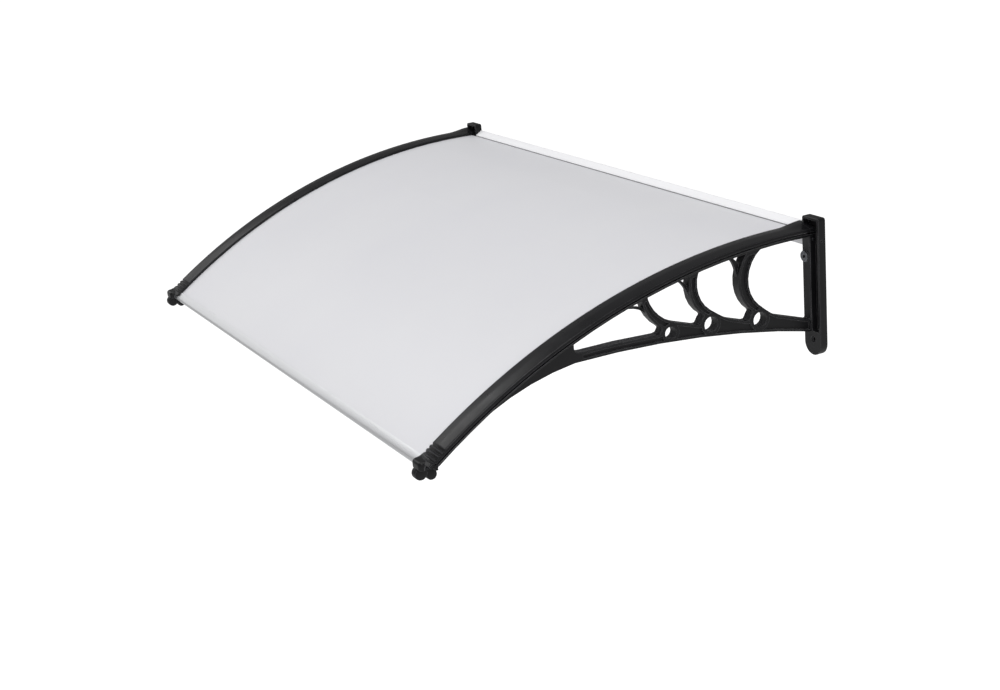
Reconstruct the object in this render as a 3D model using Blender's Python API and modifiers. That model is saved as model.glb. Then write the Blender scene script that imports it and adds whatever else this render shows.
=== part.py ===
# Door canopy: a bent polycarbonate sheet on two moulded lattice brackets, with aluminium bars
# along its front and rear edges. Run with Blender 4.5; metres, +Z up.
#
# The wall is the plane Y = 0 and the canopy reaches out along -Y. X = 0 is the middle of the
# canopy and Z = 0 is the height of the arch at its crest. Outlines are drawn in the side plane as
# (d, z), with d the distance from the wall. Both brackets are the same moulding, and a plain x is
# measured across it along +X from the edge of its cover strip. A drop is the distance below the
# edges of the cover strips, square to the arch. A depth is the same, but straight down.

from math import acos, asin, atan, atan2, ceil, cos, pi, radians, sin, sqrt

import bmesh
import bpy
from mathutils import Matrix, Vector

# Overall sizes
COVER_SPAN = 1.214  # from the outer edge of one cover strip to that of the other
PROJECTION = 0.7500  # from the wall to the front of the noses
ARCH_RADIUS = 1.154  # of the cover strips' edges
CREST_DISTANCE = 0.060  # from the wall to the highest point of the arch
FIT_GAP = 0.0003  # between two pieces that touch
ARCH_STEPS = 21  # facets along the whole arch
ARC_SAG = 0.00045  # how far a facet may stay inside the arc that it stands for
LARGEST_TURN = radians(30)  # between two facets of a small arc
CIRCLE_STEPS = 16  # facets of a whole circle
LARGEST_CUT = 0.45  # share of a facet that the rounding of a corner may take
SMOOTH_ANGLE = 32  # degrees up to which an edge between two facets is shaded smooth

# Sheet
SHEET_THICKNESS = 0.003
SHEET_SMOOTH_ANGLE = 12  # degrees, so that its thin edges stay crisp
SHEET_INSET = 0.0095  # from the outer edge of a cover strip to the edge of the sheet
SHEET_REAR = 0.009  # from the wall to the sheet
SHEET_NOSE = 0.0175  # from the front of the sheet to the front of the noses
NOTCH_DEPTH = 0.0158  # from the wall to the sheet beside a wall plate

# Cover strip
COVER_WIDTH = 0.0415
COVER_HEIGHT = 0.005
COVER_CROWN = 0.0015  # rise of its top in the middle
COVER_EDGE = 0.0010  # slope at both edges of its top
CROWN_STEPS = 5
TONGUE_X = 0.0218  # where the tongue into the wall plate starts
TONGUE_END = 0.0045  # from the wall to the tongue
GRIP_GROOVES = 4
GRIP_PITCH = 0.00775
GRIP_RADIUS = 0.0020
GRIP_DEPTH = 0.0014
GRIP_TO_FRONT = 0.0084  # from the last groove to the front of the sheet
CAP_OVERHANG = 0.0035  # how far the nose cap stands out on both sides
CAP_LENGTH = 0.0125
CAP_SETBACK = 0.0054  # from the front of the noses back to the front of the cap
CAP_RISE = 0.0085  # of the cap's top above the sheet's front edge
CAP_HEIGHT = 0.0107
CAP_ROUND = 0.0032  # of its upper and lower edges
CAP_CORNER = 0.0080  # of its front corners, seen from above
CAP_REAR_CORNER = 0.0036
END_BLOCK_TOP = 0.0045  # the raised rear end of a cover strip, above the crest
END_BLOCK_FRONT = 0.046  # from the wall to where it starts to rise
END_BLOCK_RISE = 0.006  # length of its sloping front
END_BLOCK_REAR = 0.0055  # from the wall to its end over the rear bar

# Rail flange under the sheet
FLANGE_X = 0.005
FLANGE_WIDTH = 0.0355
FLANGE_THICKNESS = 0.0050
FLANGE_SLANT = 0.0030  # how far its far edge leans in
FLANGE_REAR = 0.0245  # from the wall to the flange beside the rear bar

# Lattice
WEB_X = 0.020
WEB_THICKNESS = 0.018
WEB_CHAMFER = 0.0009
POCKET_DEPTH = 0.0035  # recess between the rims, on both sides
RIM = 0.004
HOLE_RIM = 0.006
CORNER_ROUND = 0.0035
STRUT_BOTTOM = ((0.010, 0.1782), (0.240, 0.1213), (0.474, 0.0448))  # distance, depth
STRUT_DEPTH = 0.0148  # its height in front of the rings
TOE = ((0.474, 0.0448), (0.5556, 0.0252), (0.628, 0.0152))
INNER_CENTRES = ((0.0828, 0.0633), (0.1841, 0.0408), (0.2659, 0.0094))
INNER_RADII = (0.0582, 0.0570, 0.0723)
OUTER_CENTRES = ((0.0941, 0.0615), (0.1965, 0.0419), (0.2635, 0.0144))
OUTER_RADII = (0.0670, 0.0605, 0.0855)
INNER_ENDS = (48, 53, 56)  # degrees below the horizontal at which a ring runs out to the strut
HOLE_CENTRES = ((0.1206, 0.1311), (0.2177, 0.1072), (0.2958, 0.0902))
HOLE_RADII = (0.0130, 0.0127, 0.0104)
HOLE_BOSS = 0.0083  # material in front of each hole
BOSS_ROUND = 0.005  # where a boss meets its ring
OPENINGS_END = 0.4735  # from the wall to the front end of the last opening
OPENINGS_END_ROUND = 0.015
FLOOR_POINTS = ((0.050, 0.1458), (0.170, 0.1163), (0.265, 0.0882))  # on the strut's top
FLOOR_SLOPE = 0.34  # of the strut's top behind each ring
FLOOR_BLEND = 0.013  # how far along it the ring runs out
FLOOR_ROUND = 0.007  # where the strut's top meets a boss
GUSSET_THICKNESS = 0.005
GUSSET_CORNERS = ((0.1629, 0.0238), (0.2602, 0.0259), (0.3430, 0.0245))
GUSSET_RAIL_LEGS = (0.0320, 0.0230, 0.0327)
GUSSET_RING_LEGS = (0.0414, 0.0410, 0.0336)
WINDOW_SHARE = 0.80  # how far a gusset's window reaches towards its edge
WINDOW_RING_SHARE = 0.55

# Wall plate
PLATE_X = 0.0185
PLATE_WIDTH = 0.0415
PLATE_DEPTH = 0.015
PLATE_TOP = 0.0187
PLATE_BOTTOM = -0.2187
PLATE_BACK = 0.004  # thickness behind its pocket
PLATE_WALL = 0.004
PLATE_UPRIGHT = 0.020  # width of the solid part that carries the lattice
PLATE_CORNER = 0.004
PLATE_FOOT_STEPS = 14  # facets of its round foot
PLATE_CHAMFER = 0.0008
POCKET_BOTTOM = -0.1765
POCKET_ROUND = 0.003
UPPER_POCKET_X = 0.0215  # above the rail the pocket is wider

# Fixing to the wall
UPPER_HOLE = (0.027, -0.049)  # x, z
LOWER_HOLE = (0.041, -0.191)
WALL_HOLE_RADIUS = 0.0032
UPPER_BOSS_RADIUS = 0.010
UPPER_BOSS_RISE = 0.0028
SINK_RADIUS = 0.0058
SINK_DEPTH = 0.0026
WASHER_RADIUS = 0.0092
WASHER_THICKNESS = 0.0016
WASHER_CHAMFER = 0.0003

# Nose of a bracket
NOSE_X = 0.001
NOSE_WIDTH = 0.014
NOSE_STEP = 0.0006  # how far its neck and hub stay back from its lobes' faces
NOSE_CHAMFER = 0.0014
NECK_LENGTH = 0.0425  # back from the sheet's front edge
NECK_EXTRA = 0.0010  # how far it reaches below the flange
HEEL_LENGTH = 0.100  # back from the sheet's front edge, under the whole flange
HEEL_DEPTH = 0.0022  # how far its front end reaches below the flange
FRONT_LOBE = ((-0.0105, -0.0139), 0.0105)  # centre from the nose front and the sheet's edge, radius
REAR_LOBE = ((-0.0280, -0.0196), 0.0088)
HUB_RADIUS = 0.0090

# Front bar, drawn along the sheet (u) and square to it (v) from the middle of its front edge
FRONT_LIP_REACH = 0.0095
FRONT_LIP = 0.0018
FRONT_NOSE_RADIUS = 0.007
FRONT_STOP = 0.0012
FRONT_BODY_REACH = 0.0075
FRONT_PORT = (0.0005, -0.0068)
PORT_RADIUS = 0.0021

# Rear bar
REAR_TOP = 0.005
REAR_BOTTOM = -0.037
REAR_LIP_REACH = 0.015
REAR_LIP = 0.0016
REAR_SHELF_REACH = 0.018
REAR_SHELF = 0.0018
REAR_STOP = 0.008
REAR_WALL = 0.0018
REAR_LEG = 0.0022
REAR_PORT = (0.0085, -0.0192)
REAR_PORT_BLOCK = 0.0045
REAR_HOLES = 4
REAR_HOLE_RADIUS = 0.0026
REAR_HOLE_Z = -0.0305
REAR_HOLE_END = 0.10  # from the ends of the bar to its first and last hole

# Seals
SEAL_THICKNESS = 0.001
SEAL_WIDTH = 0.0055

# Screws
SHANK_RADIUS = 0.0018
HEAD_RADIUS = 0.0034
HEAD_HEIGHT = 0.0024
HEAD_SIDE = 0.45  # share of its height at which the head starts to round
HEAD_SHOULDER = (0.65, 0.92)  # shares of its radius and height in the middle of the rounding
SCREW_CLEARANCE = 0.0003
SCREW_SIDES = 12
CROSS_WIDTH = 0.0009
CROSS_LENGTH = 0.0036
CROSS_DEPTH = 0.0010
COVER_SCREW_X = 0.0160
COVER_SCREW_ANGLES = (3, 12, 21, 30)  # degrees from the crest
COVER_SCREW_GRIP = 0.0030  # how far a cover screw goes into the cover strip
BAR_SCREW_GRIP = 0.012  # how far a bar screw goes into its bar

# Derived places
SHEET_TOP = COVER_HEIGHT + FIT_GAP  # drops, from the arch down
SHEET_MIDDLE = SHEET_TOP + SHEET_THICKNESS / 2
SHEET_UNDER = SHEET_TOP + SHEET_THICKNESS
FLANGE_TOP = SHEET_UNDER + FIT_GAP
FLANGE_BOTTOM = FLANGE_TOP + FLANGE_THICKNESS
ARCH_CENTRE = (CREST_DISTANCE, -ARCH_RADIUS)
RIGHT = COVER_SPAN / 2 - COVER_WIDTH  # where x = 0 lies for the right bracket
LEFT = -COVER_SPAN / 2  # and for the left one
SHEET_FRONT = PROJECTION - SHEET_NOSE
WEB_END = WEB_X + WEB_THICKNESS
WEB_MIDDLE = WEB_X + WEB_THICKNESS / 2
PLATE_END = PLATE_X + PLATE_WIDTH
UPRIGHT_END = PLATE_X + PLATE_UPRIGHT
OVERLAP = 0.002  # how far two solids that become one reach into each other
THROUGH = (-PLATE_WIDTH, PLATE_WIDTH)  # heights of a cut right through the rail


def angle_at(d, drop=0.0):
    """Angle from the crest, towards the front, of the arch with this drop."""
    return asin((d - CREST_DISTANCE) / (ARCH_RADIUS - drop))


def arch_point(angle, drop=0.0):
    radius = ARCH_RADIUS - drop
    return (CREST_DISTANCE + radius * sin(angle), -ARCH_RADIUS + radius * cos(angle))


def below(place):
    """(d, z) of a place given by its distance from the wall and its depth below the arch."""
    return (place[0], arch_point(angle_at(place[0]))[1] - place[1])


FRONT_ANGLE = angle_at(SHEET_FRONT, SHEET_MIDDLE)
REAR_ANGLE = angle_at(SHEET_REAR, SHEET_MIDDLE)
SHEET_EDGE = arch_point(FRONT_ANGLE, SHEET_MIDDLE)
FLANGE_FRONT = FRONT_ANGLE - (FRONT_LIP_REACH + 4 * FIT_GAP) / ARCH_RADIUS
SHELF_Z = arch_point(REAR_ANGLE, SHEET_UNDER)[1] - FIT_GAP
SEAL_Z = arch_point(angle_at(REAR_LIP_REACH, SHEET_TOP), SHEET_TOP)[1] + FIT_GAP
LIP_Z = SEAL_Z + SEAL_THICKNESS + FIT_GAP


def at_front_edge(u, v):
    """(d, z) of a point u in front of the sheet's front edge and v above its middle."""
    return (
        SHEET_EDGE[0] + u * cos(FRONT_ANGLE) + v * sin(FRONT_ANGLE),
        SHEET_EDGE[1] - u * sin(FRONT_ANGLE) + v * cos(FRONT_ANGLE),
    )


# Drawing in the side plane


def arch_points(first, last, drop):
    steps = max(1, ceil(abs(last - first) / (FRONT_ANGLE - REAR_ANGLE) * ARCH_STEPS - 1e-6))
    return [arch_point(first + (last - first) * i / steps, drop) for i in range(steps + 1)]


def along_rail(first, last, drop):
    """The arch with this drop between two distances from the wall."""
    return arch_points(angle_at(first, drop), angle_at(last, drop), drop)


def arc(centre, radius, first, last):
    """Points on a circle from one angle to another, both ends included."""
    step = min(LARGEST_TURN, sqrt(8 * ARC_SAG / radius))
    return arc_of_steps(centre, radius, first, last, max(1, ceil(abs(last - first) / step)))


def circle(centre, radius, steps=CIRCLE_STEPS):
    return arc_of_steps(centre, radius, 0, 2 * pi, steps)[:-1]


def arc_of_steps(centre, radius, first, last, steps):
    angles = [first + (last - first) * i / steps for i in range(steps + 1)]
    return [(centre[0] + radius * cos(a), centre[1] + radius * sin(a)) for a in angles]


def arc_between(centre, radius, first, last):
    """The shorter way round a circle between two of its points."""
    start = atan2(first[1] - centre[1], first[0] - centre[0])
    end = atan2(last[1] - centre[1], last[0] - centre[0])
    turn = (end - start + pi) % (2 * pi) - pi
    return arc(centre, radius, start, start + turn)


def circles_meet(centre_a, radius_a, centre_b, radius_b, side):
    """Where two circles cross: the point farthest along the direction side."""
    a, b = Vector(centre_a), Vector(centre_b)
    span = (b - a).length
    along = (span**2 + radius_a**2 - radius_b**2) / (2 * span)
    across = sqrt(radius_a**2 - along**2)
    direction = (b - a) / span
    normal = Vector((-direction.y, direction.x)) * across
    found = [a + direction * along + normal, a + direction * along - normal]
    return tuple(max(found, key=lambda p: p.dot(Vector(side))))


def line_meets_circle(point, slope, centre, radius):
    """Where a line that falls towards the wall first meets a circle nearer the wall."""
    direction = Vector((-1.0, -slope)).normalized()
    offset = Vector(point) - Vector(centre)
    half = offset.dot(direction)
    reach = -half - sqrt(half**2 - offset.length_squared + radius**2)
    return tuple(Vector(point) + direction * reach)


def circle_through(a, b, c):
    """Centre and radius of the circle through three points."""
    (ax, ay), (bx, by), (cx, cy) = a, b, c
    scale = 2 * (ax * (by - cy) + bx * (cy - ay) + cx * (ay - by))
    squares = [ax * ax + ay * ay, bx * bx + by * by, cx * cx + cy * cy]
    x = (squares[0] * (by - cy) + squares[1] * (cy - ay) + squares[2] * (ay - by)) / scale
    y = (squares[0] * (cx - bx) + squares[1] * (ax - cx) + squares[2] * (bx - ax)) / scale
    return (x, y), Vector((ax - x, ay - y)).length


def shortened(side, length):
    """A polyline with this length cut from its start."""
    points = [Vector(p) for p in side]
    left = length
    while len(points) > 2 and (points[1] - points[0]).length <= left:
        left -= (points[1] - points[0]).length
        points.pop(0)
    step = points[1] - points[0]
    points[0] = points[0] + step * min(left / step.length, LARGEST_CUT)
    return [tuple(p) for p in points]


def bent(start, corner, end, steps=2):
    """Points between start and end on the curve that corner pulls out."""
    points = []
    for i in range(1, steps):
        t = i / steps
        point = Vector(start) * (1 - t) ** 2 + Vector(corner) * 2 * t * (1 - t) + Vector(end) * t**2
        points.append(tuple(point))
    return points


def rounded_loop(sides, rounds):
    """Closed outline from polylines that meet end to end; rounds[i] rounds the end of sides[i]."""
    trimmed = []
    for i, side in enumerate(sides):
        side = shortened(side, rounds[i - 1])
        trimmed.append(shortened(side[::-1], rounds[i])[::-1])
    loop = []
    for i, side in enumerate(trimmed):
        following = trimmed[(i + 1) % len(sides)]
        loop += side
        if rounds[i]:
            loop += bent(side[-1], sides[i][-1], following[0])
    pairs = zip(loop, loop[1:] + loop[:1])
    return [p for p, q in pairs if (Vector(p) - Vector(q)).length > 1e-5]


def rounded_rectangle(x, y, lower, upper):
    """Rectangle over the ranges x and y; lower and upper are the radii of its corners."""
    loop = []
    places = ((x[0], y[0], lower, 1, 1, 180), (x[1], y[0], lower, -1, 1, 270))
    places += ((x[1], y[1], upper, -1, -1, 0), (x[0], y[1], upper, 1, -1, 90))
    for corner_x, corner_y, radius, towards_x, towards_y, start in places:
        centre = (corner_x + towards_x * radius, corner_y + towards_y * radius)
        if radius:
            loop += arc_of_steps(centre, radius, radians(start), radians(start + 90), 4)
        else:
            loop.append(centre)
    pairs = zip(loop, loop[1:] + loop[:1])
    return [p for p, q in pairs if (Vector(p) - Vector(q)).length > 1e-5]


# Making solids

for old in list(bpy.data.objects):
    bpy.data.objects.remove(old)
parts = bpy.data.collections.new("door_canopy")
cutters = bpy.data.collections.new("cutters")
cutters.hide_render = True
for collection in (parts, cutters):
    bpy.context.scene.collection.children.link(collection)

# How the two directions of an outline lie in space, and the one it is drawn out along
SIDE = Matrix(((0, 0, -1), (-1, 0, 0), (0, 1, 0))).to_4x4()
FACE = Matrix(((1, 0, 0), (0, 0, -1), (0, 1, 0))).to_4x4()
PLAN = Matrix(((1, 0, 0), (0, -1, 0), (0, 0, -1))).to_4x4()


def material(name, colour, metallic, roughness):
    made = bpy.data.materials.new(name)
    made.use_nodes = True
    shader = made.node_tree.nodes["Principled BSDF"]
    shader.inputs["Base Color"].default_value = (*colour, 1)
    shader.inputs["Metallic"].default_value = metallic
    shader.inputs["Roughness"].default_value = roughness
    return made


BLACK_PLASTIC = material("black_plastic", (0.030, 0.030, 0.033), 0.0, 0.45)
FROSTED_SHEET = material("frosted_polycarbonate", (0.72, 0.72, 0.74), 0.0, 0.35)
ALUMINIUM = material("aluminium", (0.80, 0.80, 0.81), 1.0, 0.30)
ZINC_STEEL = material("zinc_steel", (0.62, 0.62, 0.60), 1.0, 0.28)
SEAL_RUBBER = material("seal_rubber", (0.05, 0.05, 0.05), 0.0, 0.80)


def new_object(name, data):
    made = bpy.data.objects.new(name, data)
    made.hide_render = True
    made.display_type = "WIRE"
    cutters.objects.link(made)
    return made


def evaluated_mesh(made):
    graph = bpy.context.evaluated_depsgraph_get()
    graph.update()
    return bpy.data.meshes.new_from_object(made.evaluated_get(graph))


def meshed(made):
    """A closed mesh object in place of a curve or of an object with modifiers."""
    mesh = evaluated_mesh(made)
    mesh.transform(made.matrix_world)
    shape = bmesh.new()
    shape.from_mesh(mesh)
    bmesh.ops.remove_doubles(shape, verts=shape.verts, dist=1e-6)
    bmesh.ops.recalc_face_normals(shape, faces=shape.faces)
    shape.to_mesh(mesh)
    shape.free()
    name = made.name
    bpy.data.objects.remove(made)
    return new_object(name, mesh)


def curve_object(name, loops, dimensions, cyclic=True):
    data = bpy.data.curves.new(name, "CURVE")
    data.dimensions = dimensions
    for loop in loops:
        spline = data.splines.new("POLY")
        spline.points.add(len(loop) - 1)
        for point, place in zip(spline.points, loop):
            point.co = (*place, 0, 1) if len(place) == 2 else (*place, 1)
        spline.use_cyclic_u = cyclic
    return new_object(name, data)


def prism(name, plane, loops, first, last, chamfer=0.0, rings=0):
    """Outlines filled and drawn out square to their plane; a loop inside another is a hole."""
    made = curve_object(name, loops, "2D")
    made.data.fill_mode = "BOTH"
    made.data.extrude = (last - first) / 2 - chamfer
    made.data.bevel_depth = chamfer
    made.data.bevel_resolution = rings
    made.data.offset = -chamfer
    middle = (first + last) / 2
    shifts = {id(SIDE): (middle, 0, 0), id(FACE): (0, -middle, 0), id(PLAN): (0, 0, middle)}
    made.matrix_world = Matrix.Translation(shifts[id(plane)]) @ plane
    return meshed(made)


def arch_sweep(name, section, first, last):
    """A section of (x, rise above the arch) carried along the arch between two angles."""
    profile = curve_object(name + "_section", [[(-x, rise) for x, rise in section]], "2D")
    path = curve_object(name, [[(0, -d, z) for d, z in arch_points(first, last, 0)]], "3D", False)
    path.data.twist_mode = "Z_UP"
    path.data.bevel_mode = "OBJECT"
    path.data.bevel_object = profile
    path.data.use_fill_caps = True
    made = meshed(path)
    bpy.data.objects.remove(profile)
    return made


def rod(name, radius, start, end, sides=12):
    """A cylinder between two points in space."""
    start, end = Vector(start), Vector(end)
    turn = (end - start).to_track_quat("Z", "Y").to_matrix().to_4x4()
    place = Matrix.Translation((start + end) / 2) @ turn
    length = (end - start).length
    shape = bmesh.new()
    bmesh.ops.create_cone(
        shape, cap_ends=True, segments=sides, radius1=radius, radius2=radius, depth=length, matrix=place
    )
    mesh = bpy.data.meshes.new(name)
    shape.to_mesh(mesh)
    shape.free()
    return new_object(name, mesh)


def box(name, x, d, z):
    """A block over the ranges x, d and z."""
    return prism(name, SIDE, [[(d[0], z[0]), (d[1], z[0]), (d[1], z[1]), (d[0], z[1])]], *x)


def turned(name, profile, sides):
    """A profile of (radius, height) turned about Z."""
    mesh = bpy.data.meshes.new(name)
    edges = [(i, i + 1) for i in range(len(profile) - 1)]
    mesh.from_pydata([(radius, 0, height) for radius, height in profile], edges, [])
    made = new_object(name, mesh)
    lathe = made.modifiers.new("lathe", "SCREW")
    lathe.steps = lathe.render_steps = sides
    lathe.use_merge_vertices = True
    lathe.merge_threshold = 1e-5
    return meshed(made)


def combine(target, others, operation):
    for other in others:
        change = target.modifiers.new(other.name, "BOOLEAN")
        change.operation = operation
        change.object = other
        change.solver = "EXACT"
    mesh = evaluated_mesh(target)
    target.modifiers.clear()
    target.data = mesh
    for other in others:
        bpy.data.objects.remove(other)
    return target


def finished(made, name, surface, smooth=SMOOTH_ANGLE):
    """Takes a solid over to the parts, with its node's name and its material."""
    made.name = name
    made.data.name = name
    made.hide_render = False
    made.display_type = "TEXTURED"
    cutters.objects.unlink(made)
    parts.objects.link(made)
    made.data.materials.clear()
    made.data.materials.append(surface)
    made.data.shade_smooth()
    made.data.set_sharp_from_angle(angle=radians(smooth))
    return made


def placed_copy(source, name, place):
    """Another object with the same mesh, put in place by a matrix."""
    made = bpy.data.objects.new(name, source.data)
    made.matrix_world = place
    parts.objects.link(made)
    return made


def shift(x):
    return Matrix.Translation((x, 0, 0))


# The lattice between rail and strut

ROOF_DROP = FLANGE_BOTTOM - 2 * FIT_GAP  # the openings end just inside the flange
ROOF_RADIUS = ARCH_RADIUS - ROOF_DROP
WEB_TOP_DROP = FLANGE_TOP + 2 * FIT_GAP
STRUT_CENTRE, STRUT_RADIUS = circle_through(*[below(place) for place in STRUT_BOTTOM])
TOE_CENTRE, TOE_RADIUS = circle_through(*[below(place) for place in TOE])
INNER = [(below(place), radius) for place, radius in zip(INNER_CENTRES, INNER_RADII)]
OUTER = [(below(place), radius) for place, radius in zip(OUTER_CENTRES, OUTER_RADII)]
HOLES = [(below(place), radius) for place, radius in zip(HOLE_CENTRES, HOLE_RADII)]
LAST = len(OUTER) - 1
FRONTMOST = (1, 0)
UPMOST = (0, 1)


def roof_crossing(centre, radius):
    """Where a circle meets the rail's underside on its front side."""
    return circles_meet(centre, radius, ARCH_CENTRE, ROOF_RADIUS, FRONTMOST)


def floor_height(i, d, grow):
    """Height of the strut's top behind ring i."""
    point = below(FLOOR_POINTS[i])
    return point[1] + FLOOR_SLOPE * (d - point[0]) - grow / cos(atan(FLOOR_SLOPE))


def ring_inside(i, grow):
    """From the rail round the inside of ring i and on into the strut's top."""
    centre, radius = INNER[i][0], INNER[i][1] + grow
    turn = radians(INNER_ENDS[i])
    end = (centre[0] + radius * cos(turn), centre[1] - radius * sin(turn))
    gap = end[1] - floor_height(i, end[0], grow)
    run = gap / (cos(turn) - FLOOR_SLOPE * sin(turn))
    corner = (end[0] - run * sin(turn), end[1] - run * cos(turn))
    foot = (corner[0] - FLOOR_BLEND, corner[1] - FLOOR_BLEND * FLOOR_SLOPE)
    inside = arc_between(centre, radius, roof_crossing(centre, radius), end)
    return inside + bent(end, corner, foot, 4) + [foot]


def ring_front(i, foot, grow):
    """From foot up round the boss of hole i, and on up the front of ring i to the rail."""
    centre, radius = OUTER[i][0], OUTER[i][1] - grow
    hole, boss = HOLES[i][0], HOLES[i][1] + HOLE_BOSS - grow
    joint = circles_meet(hole, boss, centre, radius, UPMOST)
    around_boss = arc_between(hole, boss, foot, joint)
    return around_boss, arc_between(centre, radius, joint, roof_crossing(centre, radius))


def rear_opening(grow):
    """The opening between the wall plate and the first ring; grow enlarges it all round."""
    inside = ring_inside(0, grow)
    wall = PLATE_DEPTH + 2 * WEB_CHAMFER - grow
    corner = (wall, floor_height(0, wall, grow))
    roof = along_rail(wall, inside[0][0], ROOF_DROP)
    sides = [inside, [inside[-1], corner], [corner, roof[0]], roof]
    return rounded_loop(sides, (0, CORNER_ROUND, CORNER_ROUND, CORNER_ROUND))


def middle_opening(i, grow):
    """The opening between ring i - 1 and ring i."""
    inside = ring_inside(i, grow)
    boss = HOLES[i - 1][1] + HOLE_BOSS - grow
    foot = line_meets_circle(inside[-1], FLOOR_SLOPE, HOLES[i - 1][0], boss)
    around_boss, front = ring_front(i - 1, foot, grow)
    roof = along_rail(front[-1][0], inside[0][0], ROOF_DROP)
    sides = [inside, [inside[-1], foot], around_boss, front, roof]
    return rounded_loop(sides, (0, FLOOR_ROUND, BOSS_ROUND, CORNER_ROUND, CORNER_ROUND))


def front_opening(grow):
    """The long triangle in front of the last ring."""
    floor_radius = STRUT_RADIUS + STRUT_SIDE * (STRUT_DEPTH - grow)
    boss = HOLES[LAST][1] + HOLE_BOSS - grow
    foot = circles_meet(HOLES[LAST][0], boss, STRUT_CENTRE, floor_radius, FRONTMOST)
    around_boss, front = ring_front(LAST, foot, grow)
    roof = along_rail(front[-1][0], OPENINGS_END + grow, ROOF_DROP)
    low = circle_point_at(STRUT_CENTRE, floor_radius, OPENINGS_END + grow)
    floor = arc_between(STRUT_CENTRE, floor_radius, low, foot)
    sides = [roof, [roof[-1], low], floor, around_boss, front]
    return rounded_loop(sides, (CORNER_ROUND / 2, OPENINGS_END_ROUND, FLOOR_ROUND, BOSS_ROUND, CORNER_ROUND))


# The strut's circle lies above it when it sags and below it when it arches
STRUT_SIDE = -1 if STRUT_CENTRE[1] > 0 else 1


def openings(grow):
    middle = [middle_opening(i, grow) for i in range(1, len(OUTER))]
    return [rear_opening(grow), *middle, front_opening(grow)]


def strut_underside(inset, front):
    """From the wall plate along the strut's lower edge to a point on its circle."""
    radius = STRUT_RADIUS + STRUT_SIDE * inset
    first = circle_point_at(STRUT_CENTRE, radius, PLATE_DEPTH / 2)
    last = circle_point_at(STRUT_CENTRE, radius, front)
    return arc_between(STRUT_CENTRE, radius, first, last)


def circle_point_at(centre, radius, d):
    """The point of a circle at this distance from the wall, on the strut's side."""
    rise = sqrt(radius**2 - (d - centre[0]) ** 2)
    return (d, centre[1] + STRUT_SIDE * rise)


def lattice_outline():
    toe = arc_between(TOE_CENTRE, TOE_RADIUS, below(TOE[0]), below(TOE[-1]))
    rail = along_rail(PLATE_DEPTH / 2, TOE[-1][0], WEB_TOP_DROP)
    return strut_underside(0, TOE[0][0])[:-1] + toe + rail[::-1]


def pocket_cutter(first, last):
    """What the side pockets take away between two values of x."""
    front = TOE[0][0] - STRUT_DEPTH
    outline = strut_underside(RIM, front)
    outline += along_rail(PLATE_DEPTH / 2, front, FLANGE_BOTTOM)[::-1]
    cutter = prism("pockets", SIDE, [outline], first, last)
    others = []
    for i, loop in enumerate(openings(RIM)):
        others.append(prism(f"rim_{i}", SIDE, [loop], first - OVERLAP, last + OVERLAP))
    for i, (centre, radius) in enumerate(HOLES):
        boss = circle(centre, radius + HOLE_RIM)
        others.append(prism(f"hole_rim_{i}", SIDE, [boss], first - OVERLAP, last + OVERLAP))
    wall = (0, PLATE_DEPTH + RIM)
    others.append(box("wall_rim", (first - OVERLAP, last + OVERLAP), wall, (PLATE_BOTTOM, 0)))
    under_flange = along_rail(0, front + OVERLAP, FLANGE_BOTTOM + RIM)
    above = along_rail(0, front + OVERLAP, 0)[::-1]
    others.append(prism("flange_rim", SIDE, [under_flange + above], first - OVERLAP, last + OVERLAP))
    return combine(cutter, others, "DIFFERENCE")


def lattice():
    holes = [circle(centre, radius)[::-1] for centre, radius in HOLES]
    loops = [lattice_outline(), *openings(0), *holes]
    made = prism("lattice", SIDE, loops, WEB_X, WEB_END, WEB_CHAMFER)
    near = pocket_cutter(WEB_X - OVERLAP, WEB_X + POCKET_DEPTH)
    far = pocket_cutter(WEB_END - POCKET_DEPTH, WEB_END + OVERLAP)
    return combine(made, [near, far], "DIFFERENCE")


def gusset(i):
    """A thin web with a window between the rail and the front of ring i."""
    centre, radius = OUTER[i]
    corner = roof_crossing(centre, radius)
    rail_end = along_rail(corner[0], corner[0] + GUSSET_RAIL_LEGS[i], ROOF_DROP)[-1]
    turn = atan2(corner[1] - centre[1], corner[0] - centre[0]) - GUSSET_RING_LEGS[i] / radius
    ring_end = (centre[0] + radius * cos(turn), centre[1] + radius * sin(turn))
    pull = below(GUSSET_CORNERS[i])
    inner = (corner[0] - OVERLAP * 2, corner[1] + OVERLAP)
    loop = [inner, (rail_end[0], rail_end[1] + OVERLAP / 2), rail_end, *bent(rail_end, pull, ring_end, 6)]
    loop += [ring_end, (ring_end[0] - OVERLAP, ring_end[1])]
    shares = ((rail_end, WINDOW_SHARE), (pull, WINDOW_SHARE), (ring_end, WINDOW_RING_SHARE))
    ends = [tuple(Vector(corner).lerp(Vector(point), share)) for point, share in shares]
    window = [(corner[0] - OVERLAP / 2, corner[1] - OVERLAP / 4), ends[0], *bent(*ends, 4), ends[2]]
    half = GUSSET_THICKNESS / 2
    return prism(f"gusset_{i}", SIDE, [loop, window], WEB_MIDDLE - half, WEB_MIDDLE + half)


# The rest of the bracket


def flange():
    slant = FLANGE_X + FLANGE_WIDTH - FLANGE_SLANT
    section = [(FLANGE_X, -FLANGE_TOP), (FLANGE_X, -FLANGE_BOTTOM), (slant, -FLANGE_BOTTOM)]
    section.append((FLANGE_X + FLANGE_WIDTH, -FLANGE_TOP))
    made = arch_sweep("flange", section, angle_at(PLATE_DEPTH - OVERLAP), FLANGE_FRONT)
    beside_bar = box("beside_bar", (0, PLATE_X + OVERLAP / 4), (0, FLANGE_REAR), THROUGH)
    return combine(made, [beside_bar], "DIFFERENCE")


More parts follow.
